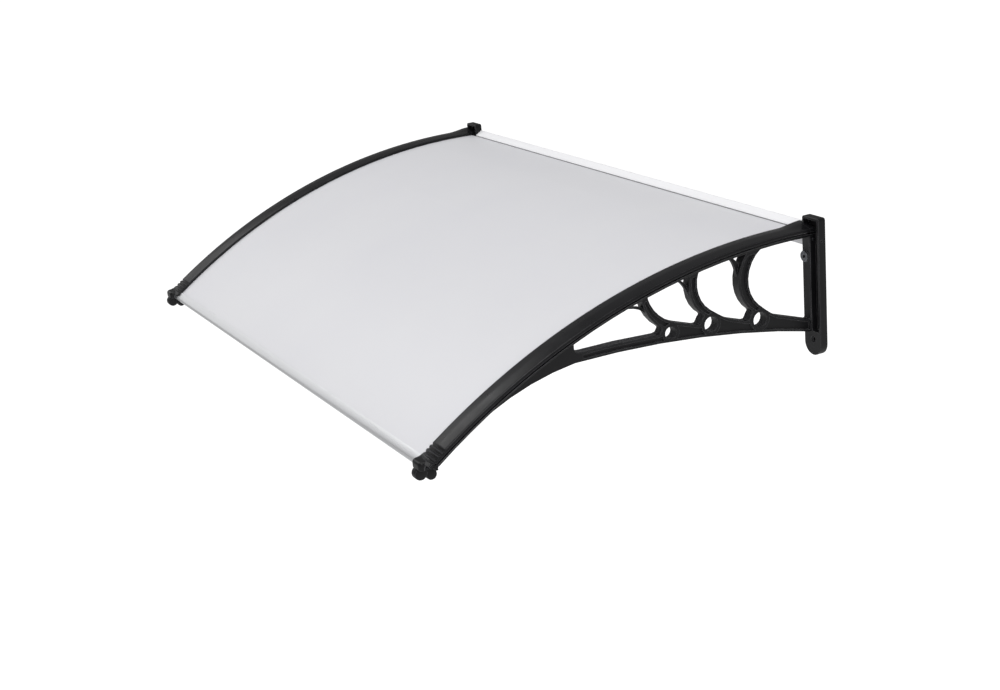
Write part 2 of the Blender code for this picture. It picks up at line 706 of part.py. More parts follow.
def heel():
    """Deepens the flange gradually towards the nose."""
    start = angle_at(SHEET_FRONT - HEEL_LENGTH)
    end = FLANGE_FRONT - FIT_GAP / ARCH_RADIUS
    upper = arch_points(start, end, FLANGE_TOP + FLANGE_THICKNESS / 2)
    first = arch_point(start, FLANGE_BOTTOM - FIT_GAP)
    loop = [*upper, arch_point(end, FLANGE_BOTTOM + HEEL_DEPTH)]
    middle = (start + end) / 2
    loop += [arch_point(middle, FLANGE_BOTTOM + HEEL_DEPTH / 2), first]
    across = (FLANGE_X + FIT_GAP, FLANGE_X + FLANGE_WIDTH - 2 * FLANGE_SLANT)
    return prism("heel", SIDE, [loop], *across)


def plate():
    radius = PLATE_WIDTH / 2
    centre = (PLATE_X + radius, PLATE_BOTTOM + radius)
    outline = arc_of_steps(centre, radius, pi, 2 * pi, PLATE_FOOT_STEPS)
    upper = rounded_rectangle((PLATE_X, PLATE_END), (0, PLATE_TOP), 0, PLATE_CORNER)
    outline += [p for p in upper if p[1] > 0]
    made = prism("plate", FACE, [outline], 0, PLATE_DEPTH, PLATE_CHAMFER)
    across = (UPRIGHT_END, PLATE_END - PLATE_WALL)
    top = PLATE_TOP - PLATE_WALL
    main = rounded_rectangle(across, (POCKET_BOTTOM, top), POCKET_ROUND, POCKET_ROUND)
    rail_top = arch_point(angle_at(0, FLANGE_TOP), FLANGE_TOP)[1]
    wide = rounded_rectangle((UPPER_POCKET_X, across[1] - OVERLAP), (rail_top, top), 0, POCKET_ROUND)
    depth = (PLATE_BACK, PLATE_DEPTH + OVERLAP)
    cuts = [prism("pocket", FACE, [main], *depth), prism("upper_pocket", FACE, [wide], *depth)]
    return combine(made, cuts, "DIFFERENCE")


def upper_boss():
    place = circle(UPPER_HOLE, UPPER_BOSS_RADIUS)
    front = PLATE_DEPTH + UPPER_BOSS_RISE
    return prism("upper_boss", FACE, [place], OVERLAP, front, WASHER_CHAMFER)


NECK_START = angle_at(SHEET_FRONT - NECK_LENGTH)


def nose():
    """The two lobes, the hub round the bar's screw and the neck that carries them."""
    centres = []
    for (d, z), _ in (FRONT_LOBE, REAR_LOBE):
        centres.append((PROJECTION + d, SHEET_EDGE[1] + z))
    port = at_front_edge(*FRONT_PORT)
    x = (NOSE_X, NOSE_X + NOSE_WIDTH)
    inner = (x[0] + NOSE_STEP, x[1] - NOSE_STEP)
    made = prism("front_lobe", SIDE, [circle(centres[0], FRONT_LOBE[1])], *x, NOSE_CHAMFER, 1)
    rear_x = (x[0] + NOSE_STEP / 2, x[1] - NOSE_STEP / 2)
    rear = prism("rear_lobe", SIDE, [circle(centres[1], REAR_LOBE[1])], *rear_x, NOSE_CHAMFER, 1)
    hub = prism("hub", SIDE, [circle(port, HUB_RADIUS)], *inner, NOSE_CHAMFER / 2)
    rear_edge = centres[1][0] - REAR_LOBE[1] + NOSE_STEP
    link_top = arch_point(angle_at(rear_edge, FLANGE_TOP), FLANGE_TOP)
    link_loop = [(rear_edge, centres[1][1]), centres[1], centres[0], port, link_top]
    link = prism("link", SIDE, [link_loop], inner[0] + NOSE_STEP, inner[1] - NOSE_STEP)
    combine(made, [rear, hub, link], "UNION")
    end = FRONT_ANGLE + 4 * FIT_GAP / ARCH_RADIUS
    above = [(0, -FLANGE_TOP), (x[1] + OVERLAP, -FLANGE_TOP), (x[1] + OVERLAP, CAP_HEIGHT), (0, CAP_HEIGHT)]
    return combine(made, [arch_sweep("under_sheet", above, NECK_START, end)], "DIFFERENCE")


def neck():
    top, bottom = FLANGE_TOP + FIT_GAP, FLANGE_BOTTOM + NECK_EXTRA
    first, last = NOSE_X + NOSE_STEP, NOSE_X + NOSE_WIDTH - NOSE_STEP
    section = [(first, -top), (first, -bottom), (last, -bottom), (last, -top)]
    return arch_sweep("neck", section, NECK_START, FRONT_ANGLE)


def across_arch(name, radius, x, angle, drops):
    """A rod square to the arch between two drops."""
    ends = [arch_point(angle, drop) for drop in drops]
    return rod(name, radius, *[(x, -d, z) for d, z in ends])


def bracket_holes():
    holes = []
    for i, angle in enumerate(COVER_SCREW_ANGLES):
        drops = (FLANGE_BOTTOM + OVERLAP, FLANGE_TOP - OVERLAP)
        radius = SHANK_RADIUS + SCREW_CLEARANCE
        holes.append(across_arch(f"cover_hole_{i}", radius, COVER_SCREW_X, radians(angle), drops))
    radius = SHANK_RADIUS + SCREW_CLEARANCE
    d, z = at_front_edge(*FRONT_PORT)
    holes.append(rod("front_hole", radius, (0, -d, z), (NOSE_X + NOSE_WIDTH + OVERLAP, -d, z)))
    d, z = REAR_PORT
    holes.append(rod("rear_hole", radius, (PLATE_X - OVERLAP, -d, z), (PLATE_END + OVERLAP, -d, z)))
    for i, (x, z) in enumerate((UPPER_HOLE, LOWER_HOLE)):
        reach = PLATE_DEPTH + UPPER_BOSS_RISE + OVERLAP
        holes.append(rod(f"wall_hole_{i}", WALL_HOLE_RADIUS, (x, OVERLAP, z), (x, -reach, z)))
    place = Matrix.Translation((LOWER_HOLE[0], -PLATE_DEPTH, LOWER_HOLE[1])) @ FACE
    profile = [(0, OVERLAP), (SINK_RADIUS + OVERLAP, OVERLAP), (WALL_HOLE_RADIUS, -SINK_DEPTH)]
    sink = turned("sink", profile + [(0, -SINK_DEPTH)], 24)
    sink.data.transform(place)
    return holes + [sink]


def bracket():
    made = plate()
    pieces = [lattice(), flange(), heel(), upper_boss(), neck(), nose()]
    pieces += [gusset(i) for i in range(len(OUTER))]
    combine(made, pieces, "UNION")
    return combine(made, bracket_holes(), "DIFFERENCE")


# Cover strip


def front_bar_room():
    """The space under the cap that the front bar and the nose's hub take up."""
    room = FRONT_NOSE_RADIUS + FRONT_PORT[0] + 2 * FIT_GAP
    top = FRONT_LIP + SHEET_THICKNESS / 2 + 2 * FIT_GAP
    low = -CAP_HEIGHT * 3
    rear = -FRONT_LIP_REACH - 4 * FIT_GAP
    corner = FRONT_NOSE_RADIUS / 2
    loop = [at_front_edge(rear, low), at_front_edge(room, low)]
    loop += [at_front_edge(*p) for p in arc_of_steps((room - corner, top - corner), corner, 0, pi / 2, 4)]
    loop.append(at_front_edge(rear, top))
    return prism("front_bar_room", SIDE, [loop], -CAP_OVERHANG * 2, COVER_WIDTH + CAP_OVERHANG * 2)


def cap():
    """The rounded cap over the front of a cover strip, drawn from above as (x, d)."""
    front = PROJECTION - CAP_SETBACK
    across = (-CAP_OVERHANG, COVER_WIDTH + CAP_OVERHANG)
    loop = rounded_rectangle(across, (front - CAP_LENGTH, front), CAP_REAR_CORNER, CAP_CORNER)
    top = SHEET_EDGE[1] + CAP_RISE
    return prism("cap", PLAN, [loop], top - CAP_HEIGHT, top, CAP_ROUND, 2)


def cover_section():
    """Flat below, with a shallow arc on top between its two sloping edges."""
    middle = COVER_WIDTH / 2
    low = -COVER_EDGE
    edges = (COVER_EDGE, 0), (COVER_WIDTH - COVER_EDGE, 0)
    centre, radius = circle_through(edges[0], (middle, COVER_CROWN), edges[1])
    spread = acos((middle - COVER_EDGE) / radius)
    top = arc_of_steps(centre, radius, spread, pi - spread, CROWN_STEPS)
    return [(0, -COVER_HEIGHT), (COVER_WIDTH, -COVER_HEIGHT), (COVER_WIDTH, low), *top, (0, low)]


def end_block():
    """The raised rear end of a cover strip, which runs over the rear bar and into the wall plate."""
    low = -COVER_HEIGHT + FIT_GAP
    loop = [(TONGUE_END, low), (END_BLOCK_FRONT, low), (END_BLOCK_FRONT, -COVER_EDGE)]
    loop += [(END_BLOCK_FRONT - END_BLOCK_RISE, END_BLOCK_TOP), (TONGUE_END, END_BLOCK_TOP)]
    return prism("end_block", SIDE, [loop], FIT_GAP, COVER_WIDTH - FIT_GAP, COVER_EDGE)


def beside_tongue():
    """What leaves a cover strip's end clear of the wall plate's edge and of the rear bar."""
    edge = PLATE_X - 2 * FIT_GAP
    wall = box("beside_plate", (edge, TONGUE_X), (0, NOTCH_DEPTH), THROUGH)
    clear = 2 * FIT_GAP
    slope = (REAR_TOP - LIP_Z - REAR_LIP) / (REAR_LIP_REACH - REAR_WALL)
    bar_top = [LIP_Z + REAR_LIP + clear + slope * (REAR_LIP_REACH - d) for d in (NOTCH_DEPTH, END_BLOCK_REAR)]
    loop = [(0, THROUGH[0]), (NOTCH_DEPTH, THROUGH[0]), (NOTCH_DEPTH, bar_top[0])]
    loop += [(END_BLOCK_REAR, bar_top[1]), (END_BLOCK_REAR, THROUGH[1]), (0, THROUGH[1])]
    return wall, prism("over_bar", SIDE, [loop], -OVERLAP, edge + OVERLAP / 4)


def cover_strip():
    made = arch_sweep("cover", cover_section(), angle_at(TONGUE_END), FRONT_ANGLE)
    combine(made, [end_block()], "UNION")
    grooves = []
    rise = GRIP_RADIUS - GRIP_DEPTH
    for i in range(GRIP_GROOVES):
        angle = FRONT_ANGLE - (GRIP_TO_FRONT + GRIP_PITCH * i) / ARCH_RADIUS
        d, z = arch_point(angle, -rise)
        ends = (-OVERLAP, -d, z), (COVER_WIDTH + OVERLAP, -d, z)
        grooves.append(rod(f"groove_{i}", GRIP_RADIUS, *ends, CIRCLE_STEPS))
    combine(made, [*grooves, *beside_tongue()], "DIFFERENCE")
    combine(made, [cap()], "UNION")
    screws = []
    for i, angle in enumerate(COVER_SCREW_ANGLES):
        drops = (COVER_HEIGHT + OVERLAP, COVER_HEIGHT - COVER_SCREW_GRIP - FIT_GAP)
        radius = SHANK_RADIUS + SCREW_CLEARANCE
        screws.append(across_arch(f"blind_{i}", radius, COVER_SCREW_X, radians(angle), drops))
    return combine(made, [front_bar_room(), *screws], "DIFFERENCE")


# Sheet, bars and seals


def roof_sheet():
    edge = COVER_SPAN / 2 - SHEET_INSET
    section = [(-edge, -SHEET_TOP), (-edge, -SHEET_UNDER), (edge, -SHEET_UNDER), (edge, -SHEET_TOP)]
    made = arch_sweep("sheet", section, REAR_ANGLE, FRONT_ANGLE)
    depth = (0, NOTCH_DEPTH)
    cuts = [box("right_notch", (RIGHT + PLATE_X - 2 * FIT_GAP, 2 * edge), depth, THROUGH)]
    cuts.append(box("left_notch", (-2 * edge, LEFT + PLATE_END + 2 * FIT_GAP), depth, THROUGH))
    for side in (RIGHT, LEFT):
        for angle in COVER_SCREW_ANGLES:
            drops = (SHEET_UNDER + OVERLAP, SHEET_TOP - OVERLAP)
            radius = SHANK_RADIUS + SCREW_CLEARANCE
            cuts.append(across_arch("hole", radius, side + COVER_SCREW_X, radians(angle), drops))
    return combine(made, cuts, "DIFFERENCE")


FRONT_BAR_X = (LEFT + NOSE_X + NOSE_WIDTH + FIT_GAP, RIGHT + NOSE_X - FIT_GAP)
REAR_BAR_X = (LEFT + PLATE_END + FIT_GAP, RIGHT + PLATE_X - FIT_GAP)
FRONT_SLOT = SHEET_THICKNESS / 2 + FIT_GAP  # half of it, without the seal


def front_bar():
    lip_top = FRONT_SLOT + FRONT_LIP
    seal_side = -FRONT_SLOT - SEAL_THICKNESS - FIT_GAP
    centre = (FRONT_PORT[0], lip_top - FRONT_NOSE_RADIUS)
    low = centre[1] - FRONT_NOSE_RADIUS
    loop = [(-FRONT_LIP_REACH, FRONT_SLOT), (-FRONT_LIP_REACH, lip_top)]
    loop += arc(centre, FRONT_NOSE_RADIUS, pi / 2, -pi / 2)
    loop += [(-FRONT_BODY_REACH, low), (-FRONT_BODY_REACH, seal_side - FRONT_LIP)]
    loop += [(-FRONT_LIP_REACH, seal_side - FRONT_LIP), (-FRONT_LIP_REACH, seal_side)]
    loop += [(FRONT_STOP, seal_side), (FRONT_STOP, FRONT_SLOT)]
    outline = [at_front_edge(u, v) for u, v in loop]
    port = circle(at_front_edge(*FRONT_PORT), PORT_RADIUS)
    return prism("front_bar", SIDE, [outline, port], *FRONT_BAR_X)


def front_gasket():
    low = -FRONT_SLOT - SEAL_THICKNESS
    rear = -FRONT_LIP_REACH + FIT_GAP
    loop = [(rear, low), (rear + SEAL_WIDTH, low), (rear + SEAL_WIDTH, -FRONT_SLOT), (rear, -FRONT_SLOT)]
    outline = [at_front_edge(u, v) for u, v in loop]
    return prism("front_gasket", SIDE, [outline], *FRONT_BAR_X)


def rear_bar():
    block = REAR_PORT[0] + REAR_PORT_BLOCK
    block_low = REAR_PORT[1] - REAR_PORT_BLOCK
    shelf_low = SHELF_Z - REAR_SHELF
    loop = [(0, REAR_BOTTOM), (REAR_LEG, REAR_BOTTOM), (REAR_LEG, block_low), (block, block_low)]
    loop += [(block, shelf_low), (REAR_SHELF_REACH, shelf_low), (REAR_SHELF_REACH, SHELF_Z)]
    loop += [(REAR_STOP, SHELF_Z), (REAR_STOP, LIP_Z), (REAR_LIP_REACH, LIP_Z)]
    loop += [(REAR_LIP_REACH, LIP_Z + REAR_LIP), (REAR_WALL, REAR_TOP), (0, REAR_TOP)]
    inner = REAR_STOP - REAR_WALL
    low = SHELF_Z - REAR_SHELF / 2
    chamber = [(REAR_WALL, low), (inner, low), (inner, LIP_Z + REAR_LIP / 4)]
    chamber.append((REAR_WALL, REAR_TOP - 2 * REAR_WALL))
    port = circle(REAR_PORT, PORT_RADIUS)
    made = prism("rear_bar", SIDE, [loop, chamber, port], *REAR_BAR_X)
    first, last = REAR_BAR_X[0] + REAR_HOLE_END, REAR_BAR_X[1] - REAR_HOLE_END
    holes = []
    for i in range(REAR_HOLES):
        x = first + (last - first) * i / (REAR_HOLES - 1)
        ends = (x, OVERLAP, REAR_HOLE_Z), (x, -REAR_LEG - OVERLAP, REAR_HOLE_Z)
        holes.append(rod(f"leg_hole_{i}", REAR_HOLE_RADIUS, *ends))
    return combine(made, holes, "DIFFERENCE")


def rear_gasket():
    front = REAR_LIP_REACH - FIT_GAP
    loop = [(front - SEAL_WIDTH, SEAL_Z), (front, SEAL_Z), (front, SEAL_Z + SEAL_THICKNESS)]
    loop.append((front - SEAL_WIDTH, SEAL_Z + SEAL_THICKNESS))
    return prism("rear_gasket", SIDE, [loop], *REAR_BAR_X)


def washer():
    loops = [circle(UPPER_HOLE, WASHER_RADIUS), circle(UPPER_HOLE, WALL_HOLE_RADIUS)]
    rear = PLATE_DEPTH + UPPER_BOSS_RISE + FIT_GAP
    return prism("washer", FACE, loops, rear, rear + WASHER_THICKNESS, WASHER_CHAMFER)


# Screws


def screw(name, length):
    """Points down from the underside of its head at the origin."""
    rim = HEAD_HEIGHT * HEAD_SIDE
    profile = [(0, HEAD_HEIGHT), (HEAD_RADIUS * HEAD_SHOULDER[0], HEAD_HEIGHT * HEAD_SHOULDER[1])]
    profile += [(HEAD_RADIUS, rim), (HEAD_RADIUS, 0)]
    profile += [(SHANK_RADIUS, 0), (SHANK_RADIUS, SHANK_RADIUS - length), (SHANK_RADIUS / 2, -length)]
    made = turned(name, profile + [(0, -length)], SCREW_SIDES)
    slots = []
    for x, y in ((CROSS_LENGTH, CROSS_WIDTH), (CROSS_WIDTH, CROSS_LENGTH)):
        height = (HEAD_HEIGHT - CROSS_DEPTH, HEAD_HEIGHT + OVERLAP)
        slots.append(box("slot", (-x / 2, x / 2), (-y / 2, y / 2), height))
    return combine(made, slots, "DIFFERENCE")


def aimed(place, direction):
    """Puts a screw's head at place, pointing along direction."""
    turn = Vector(direction).to_track_quat("-Z", "Y").to_matrix().to_4x4()
    return Matrix.Translation(place) @ turn


def cover_screw_place(side, degrees):
    angle = radians(degrees)
    d, z = arch_point(angle, FLANGE_BOTTOM + FIT_GAP)
    return aimed((side + COVER_SCREW_X, -d, z), (0, -sin(angle), cos(angle)))


def build_brackets():
    black_bracket = finished(bracket(), "right_bracket", BLACK_PLASTIC)
    placed_copy(black_bracket, "left_bracket", shift(LEFT))
    black_bracket.matrix_world = shift(RIGHT)
    strip = finished(cover_strip(), "right_cover_strip", BLACK_PLASTIC)
    placed_copy(strip, "left_cover_strip", shift(LEFT))
    strip.matrix_world = shift(RIGHT)
    ring = finished(washer(), "right_wall_washer", ZINC_STEEL)
    placed_copy(ring, "left_wall_washer", shift(LEFT))
    ring.matrix_world = shift(RIGHT)


def build_cover_screws():
    length = FLANGE_BOTTOM + FIT_GAP - COVER_HEIGHT + COVER_SCREW_GRIP
    first = finished(screw("cover_screw", length), "right_cover_screw_1", ZINC_STEEL)
    for side, name in ((RIGHT, "right"), (LEFT, "left")):
        for i, degrees in enumerate(COVER_SCREW_ANGLES):
            place = cover_screw_place(side, degrees)
            if (side, i) == (RIGHT, 0):
                first.matrix_world = place
            else:
                placed_copy(first, f"{name}_cover_screw_{i + 1}", place)


def build_bar_screw(name, head_x, bar_x, port):
    """A screw along X from its head into the end of a bar."""
    d, z = port
    length = abs(bar_x - head_x) + BAR_SCREW_GRIP
    made = finished(screw(name, length), name, ZINC_STEEL)
    made.matrix_world = aimed((head_x, -d, z), (bar_x - head_x, 0, 0))


def build_bar_screws():
    port = at_front_edge(*FRONT_PORT)
    build_bar_screw("right_front_screw", RIGHT + NOSE_X + NOSE_WIDTH + FIT_GAP, FRONT_BAR_X[1], port)
    build_bar_screw("left_front_screw", LEFT + NOSE_X - FIT_GAP, FRONT_BAR_X[0], port)
    build_bar_screw("right_rear_screw", RIGHT + UPRIGHT_END + FIT_GAP, REAR_BAR_X[1], REAR_PORT)
    inner_wall = LEFT + PLATE_END - PLATE_WALL
    build_bar_screw("left_rear_screw", inner_wall - FIT_GAP, REAR_BAR_X[0], REAR_PORT)


build_brackets()
finished(roof_sheet(), "roof_sheet", FROSTED_SHEET, SHEET_SMOOTH_ANGLE)
finished(front_bar(), "front_bar", ALUMINIUM)
finished(rear_bar(), "rear_bar", ALUMINIUM)
finished(front_gasket(), "front_gasket", SEAL_RUBBER)
finished(rear_gasket(), "rear_gasket", SEAL_RUBBER)
build_cover_screws()
build_bar_screws()
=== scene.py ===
from math import asin, cos, pi, radians, sin, sqrt

import bmesh
import bpy
from mathutils import Matrix, Vector


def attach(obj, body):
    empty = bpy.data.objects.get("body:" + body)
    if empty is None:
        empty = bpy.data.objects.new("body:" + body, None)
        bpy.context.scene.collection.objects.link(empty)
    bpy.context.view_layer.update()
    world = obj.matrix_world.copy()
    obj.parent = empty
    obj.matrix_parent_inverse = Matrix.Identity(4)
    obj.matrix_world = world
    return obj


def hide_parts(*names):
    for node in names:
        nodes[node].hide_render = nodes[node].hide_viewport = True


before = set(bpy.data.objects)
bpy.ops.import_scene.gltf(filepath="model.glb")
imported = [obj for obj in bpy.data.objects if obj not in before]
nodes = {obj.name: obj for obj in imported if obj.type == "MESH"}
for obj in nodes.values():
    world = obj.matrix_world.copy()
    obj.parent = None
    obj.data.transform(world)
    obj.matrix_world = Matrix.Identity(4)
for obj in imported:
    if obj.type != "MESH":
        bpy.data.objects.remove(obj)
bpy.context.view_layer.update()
print("canopy loaded:", len(nodes), "nodes")


# Helpers

def linearColour(hexCode):
    # sRGB hex to the linear colour that the shaders take
    values = [int(hexCode[i:i + 2], 16) / 255 for i in (1, 3, 5)]
    return (*[v / 12.92 if v <= 0.04045 else ((v + 0.055) / 1.055) ** 2.4 for v in values], 1)


def addNode(tree, kind, settings=None, links=None):
    # one node with its settings (attributes or sockets) and what is plugged into it
    node = tree.nodes.new(kind)
    for name, value in (settings or {}).items():
        if isinstance(name, str) and hasattr(node, name):
            setattr(node, name, value)
        else:
            node.inputs[name].default_value = value
    for name, source in (links or {}).items():
        tree.links.new(source, node.inputs[name])
    return node


def newMaterial(name):
    # an empty material, its node tree and the place on the object that its patterns follow
    material = bpy.data.materials.new(name)
    material.use_nodes = True
    tree = material.node_tree
    tree.nodes.clear()
    return material, tree, addNode(tree, "ShaderNodeTexCoord").outputs["Object"]


def spread(first, last, count):
    # evenly spaced values, with both ends
    return [first + (last - first) * i / count for i in range(count + 1)]


def loftedMesh(name, lofts):
    # closed skins, each through its own list of rings, in one mesh
    shape = bmesh.new()
    for rings in lofts:
        rows = [[shape.verts.new(point) for point in ring] for ring in rings]
        for row, following in zip(rows, rows[1:]):
            for i in range(len(row)):
                j = (i + 1) % len(row)
                shape.faces.new((row[i], row[j], following[j], following[i]))
        shape.faces.new(rows[0][::-1])
        shape.faces.new(rows[-1])
    bmesh.ops.recalc_face_normals(shape, faces=shape.faces)
    mesh = bpy.data.meshes.new(name)
    shape.to_mesh(mesh)
    shape.free()
    return mesh


# Materials

noiseSpan = {"From Min": 0.3, "From Max": 0.7}    # where the values of a noise mostly lie
arrisMask = {
    "samples": 6,
    "flatCosine": 0.985,      # of the turn up to which a face counts as flat
    "arrisCosine": 0.80,      # of the turn from which it is all arris
}


def edgeMask(tree, width):
    # how far the face turns within an edge's width: 0 on a flat, 1 on an arris
    rounded = addNode(tree, "ShaderNodeBevel", {"samples": arrisMask["samples"], "Radius": width})
    flat = addNode(tree, "ShaderNodeNewGeometry")
    turn = addNode(tree, "ShaderNodeVectorMath", {"operation": "DOT_PRODUCT"},
                   {0: rounded.outputs["Normal"], 1: flat.outputs["Normal"]})
    return addNode(tree, "ShaderNodeMapRange",
                   {"From Min": arrisMask["flatCosine"], "From Max": arrisMask["arrisCosine"],
                    "To Min": 0.0, "To Max": 1.0},
                   {"Value": turn.outputs["Value"]}).outputs["Result"]


blackPlasticLook = {
    "colour": "#111113",
    "paleColour": "#19191b",        # where handling has polished it
    "arrisHighlightColour": "#9a9a9e",        # painted highlight along the arrises, patchy like handling marks
    "edgeWidth": 0.0009,
    "roughness": (0.37, 0.48),
    "ior": 1.53,
    "specular": 0.28,
    "grainSize": 0.0016,            # the real spark-eroded grain is 0.1 mm, drawn coarse to show
    "grainDepth": 0.00006,
    "grainStrength": 0.35,
    "blotchSize": 0.035,            # of the handled patches
}


def mouldedBlackAbs(name, look):
    # Moulded ABS from a spark-eroded tool: near black, satin, with a painted highlight along its
    # arrises
    material, tree, place = newMaterial(name)
    blotch = addNode(tree, "ShaderNodeTexNoise",
                     {"Scale": 1 / look["blotchSize"], "Detail": 4.0, "Roughness": 0.6},
                     {"Vector": place}).outputs["Fac"]
    grain = addNode(tree, "ShaderNodeTexNoise",
                    {"Scale": 1 / look["grainSize"], "Detail": 3.0, "Roughness": 0.55},
                    {"Vector": place})
    # painted highlight: the arris mask, made patchy by the blotches
    patchyHighlight = addNode(tree, "ShaderNodeMath", {"operation": "MULTIPLY"},
                         {0: edgeMask(tree, look["edgeWidth"]), 1: blotch})
    base = addNode(tree, "ShaderNodeMix",
                   {"data_type": "RGBA", 6: linearColour(look["colour"]),
                    7: linearColour(look["paleColour"])},
                   {"Factor": blotch})
    highlightedArrises = addNode(tree, "ShaderNodeMix",
                     {"data_type": "RGBA", 7: linearColour(look["arrisHighlightColour"])},
                     {"Factor": patchyHighlight.outputs["Value"], 6: base.outputs[2]})
    rough = addNode(tree, "ShaderNodeMapRange",
                    {**noiseSpan, "To Min": look["roughness"][0], "To Max": look["roughness"][1]},
                    {"Value": blotch})
    bump = addNode(tree, "ShaderNodeBump",
                   {"Strength": look["grainStrength"], "Distance": look["grainDepth"]},
                   {"Height": grain.outputs["Fac"]})
    shader = addNode(tree, "ShaderNodeBsdfPrincipled",
                     {"IOR": look["ior"], "Specular IOR Level": look["specular"]},
                     {"Base Color": highlightedArrises.outputs[2], "Roughness": rough.outputs["Result"],
                      "Normal": bump.outputs["Normal"]})
    addNode(tree, "ShaderNodeOutputMaterial", links={"Surface": shader.outputs["BSDF"]})
    return material


sheetLook = {
    "colour": "#dcdcdf",
    "deepColour": "#d7d7dc",
    "roughness": (0.38, 0.46),
    "ior": 1.585,
    "specular": 0.35,
    "transmission": 0.08,
    "frostSize": 0.0022,            # frosting is finer than 0.2 mm, drawn coarse to show
    "frostDepth": 0.00004,
    "frostStrength": 0.25,
    "frostShare": 0.4,              # of the frost in the change of colour
    "cloudSize": 0.22,
}


def frostedPolycarbonate(name, look):
    # Extruded solid polycarbonate with a frosted face: milky, evenly matt, a little light passes
    material, tree, place = newMaterial(name)
    cloud = addNode(tree, "ShaderNodeTexNoise",
                    {"Scale": 1 / look["cloudSize"], "Detail": 2.0}, {"Vector": place})
    frost = addNode(tree, "ShaderNodeTexNoise",
                    {"Scale": 1 / look["frostSize"], "Detail": 2.0, "Roughness": 0.7},
                    {"Vector": place}).outputs["Fac"]
    mixed = addNode(tree, "ShaderNodeMath", {"operation": "MULTIPLY_ADD", 1: look["frostShare"]},
                    {0: frost, 2: cloud.outputs["Fac"]})
    colour = addNode(tree, "ShaderNodeMix",
                     {"data_type": "RGBA", 6: linearColour(look["deepColour"]),
                      7: linearColour(look["colour"])},
                     {"Factor": mixed.outputs["Value"]})
    rough = addNode(tree, "ShaderNodeMapRange",
                    {**noiseSpan, "To Min": look["roughness"][0], "To Max": look["roughness"][1]},
                    {"Value": frost})
    bump = addNode(tree, "ShaderNodeBump",
                   {"Strength": look["frostStrength"], "Distance": look["frostDepth"]},
                   {"Height": frost})
    shader = addNode(tree, "ShaderNodeBsdfPrincipled",
                     {"IOR": look["ior"], "Specular IOR Level": look["specular"],
                      "Transmission Weight": look["transmission"]},
                     {"Base Color": colour.outputs[2], "Roughness": rough.outputs["Result"],
                      "Normal": bump.outputs["Normal"]})
    addNode(tree, "ShaderNodeOutputMaterial", links={"Surface": shader.outputs["BSDF"]})
    return material


aluminiumLook = {
    "colour": "#ebecee",
    "darkColour": "#dfe0e2",
    "roughness": (0.27, 0.37),
    "metallic": 1.0,
    "lineWidth": 0.0007,            # die lines of 0.1 mm, drawn coarse to show
    "lineLength": 0.25,
    "lineDepth": 0.00002,
    "lineStrength": 0.3,
}


def anodisedAluminium(name, look):
    # Extruded and satin anodised aluminium: pale, with faint die lines along its length
    material, tree, place = newMaterial(name)
    across = 1 / look["lineWidth"]
    stretch = addNode(tree, "ShaderNodeMapping",
                      {"Scale": (1 / look["lineLength"], across, across)}, {"Vector": place})
    lines = addNode(tree, "ShaderNodeTexNoise", {"Scale": 1.0, "Detail": 3.0},
                    {"Vector": stretch.outputs["Vector"]}).outputs["Fac"]
    colour = addNode(tree, "ShaderNodeMix",
                     {"data_type": "RGBA", 6: linearColour(look["darkColour"]),
                      7: linearColour(look["colour"])},
                     {"Factor": lines})
    rough = addNode(tree, "ShaderNodeMapRange",
                    {**noiseSpan, "To Min": look["roughness"][0], "To Max": look["roughness"][1]},
                    {"Value": lines})
    bump = addNode(tree, "ShaderNodeBump",
                   {"Strength": look["lineStrength"], "Distance": look["lineDepth"]},
                   {"Height": lines})
    shader = addNode(tree, "ShaderNodeBsdfPrincipled", {"Metallic": look["metallic"]},
                     {"Base Color": colour.outputs[2], "Roughness": rough.outputs["Result"],
                      "Normal": bump.outputs["Normal"]})
    addNode(tree, "ShaderNodeOutputMaterial", links={"Surface": shader.outputs["BSDF"]})
    return material


zincLook = {
    "colour": "#3a3a3d",
    "dullColour": "#242427",
    "rimWearAndHighlightColour": "#b9bcc0",
    "roughness": (0.32, 0.48),
    "spangleSize": 0.0015,          # of the dull clouds
    "edgeWidth": 0.0002,
}


def zincPlatedSteel(name, look):
    # Zinc plated steel: grey metal with small dull clouds and bright wear on its rims; on the
    # washer the wide bright rim is a painted highlight
    material, tree, place = newMaterial(name)
    spangle = addNode(tree, "ShaderNodeTexNoise",
                      {"Scale": 1 / look["spangleSize"], "Detail": 3.0},
                      {"Vector": place}).outputs["Fac"]
    colour = addNode(tree, "ShaderNodeMix",
                     {"data_type": "RGBA", 6: linearColour(look["dullColour"]),
                      7: linearColour(look["colour"])},
                     {"Factor": spangle})
    # bright rims: wear on the screws, a painted highlight on the washer
    rimWearAndHighlight = addNode(tree, "ShaderNodeMix",
                   {"data_type": "RGBA", 7: linearColour(look["rimWearAndHighlightColour"])},
                   {"Factor": edgeMask(tree, look["edgeWidth"]), 6: colour.outputs[2]})
    rough = addNode(tree, "ShaderNodeMapRange",
                    {**noiseSpan, "To Min": look["roughness"][0], "To Max": look["roughness"][1]},
                    {"Value": spangle})
    shader = addNode(tree, "ShaderNodeBsdfPrincipled", {"Metallic": 1.0},
                     {"Base Color": rimWearAndHighlight.outputs[2], "Roughness": rough.outputs["Result"]})
    addNode(tree, "ShaderNodeOutputMaterial", links={"Surface": shader.outputs["BSDF"]})
    return material


rubberLook = {
    "colour": "#6c6c6e",
    "dustColour": "#8a8a8a",
    "roughness": 0.75,
    "ior": 1.52,
    "dustSize": 0.004,
    "dustDepth": 0.0001,
    "dustStrength": 0.3,
}


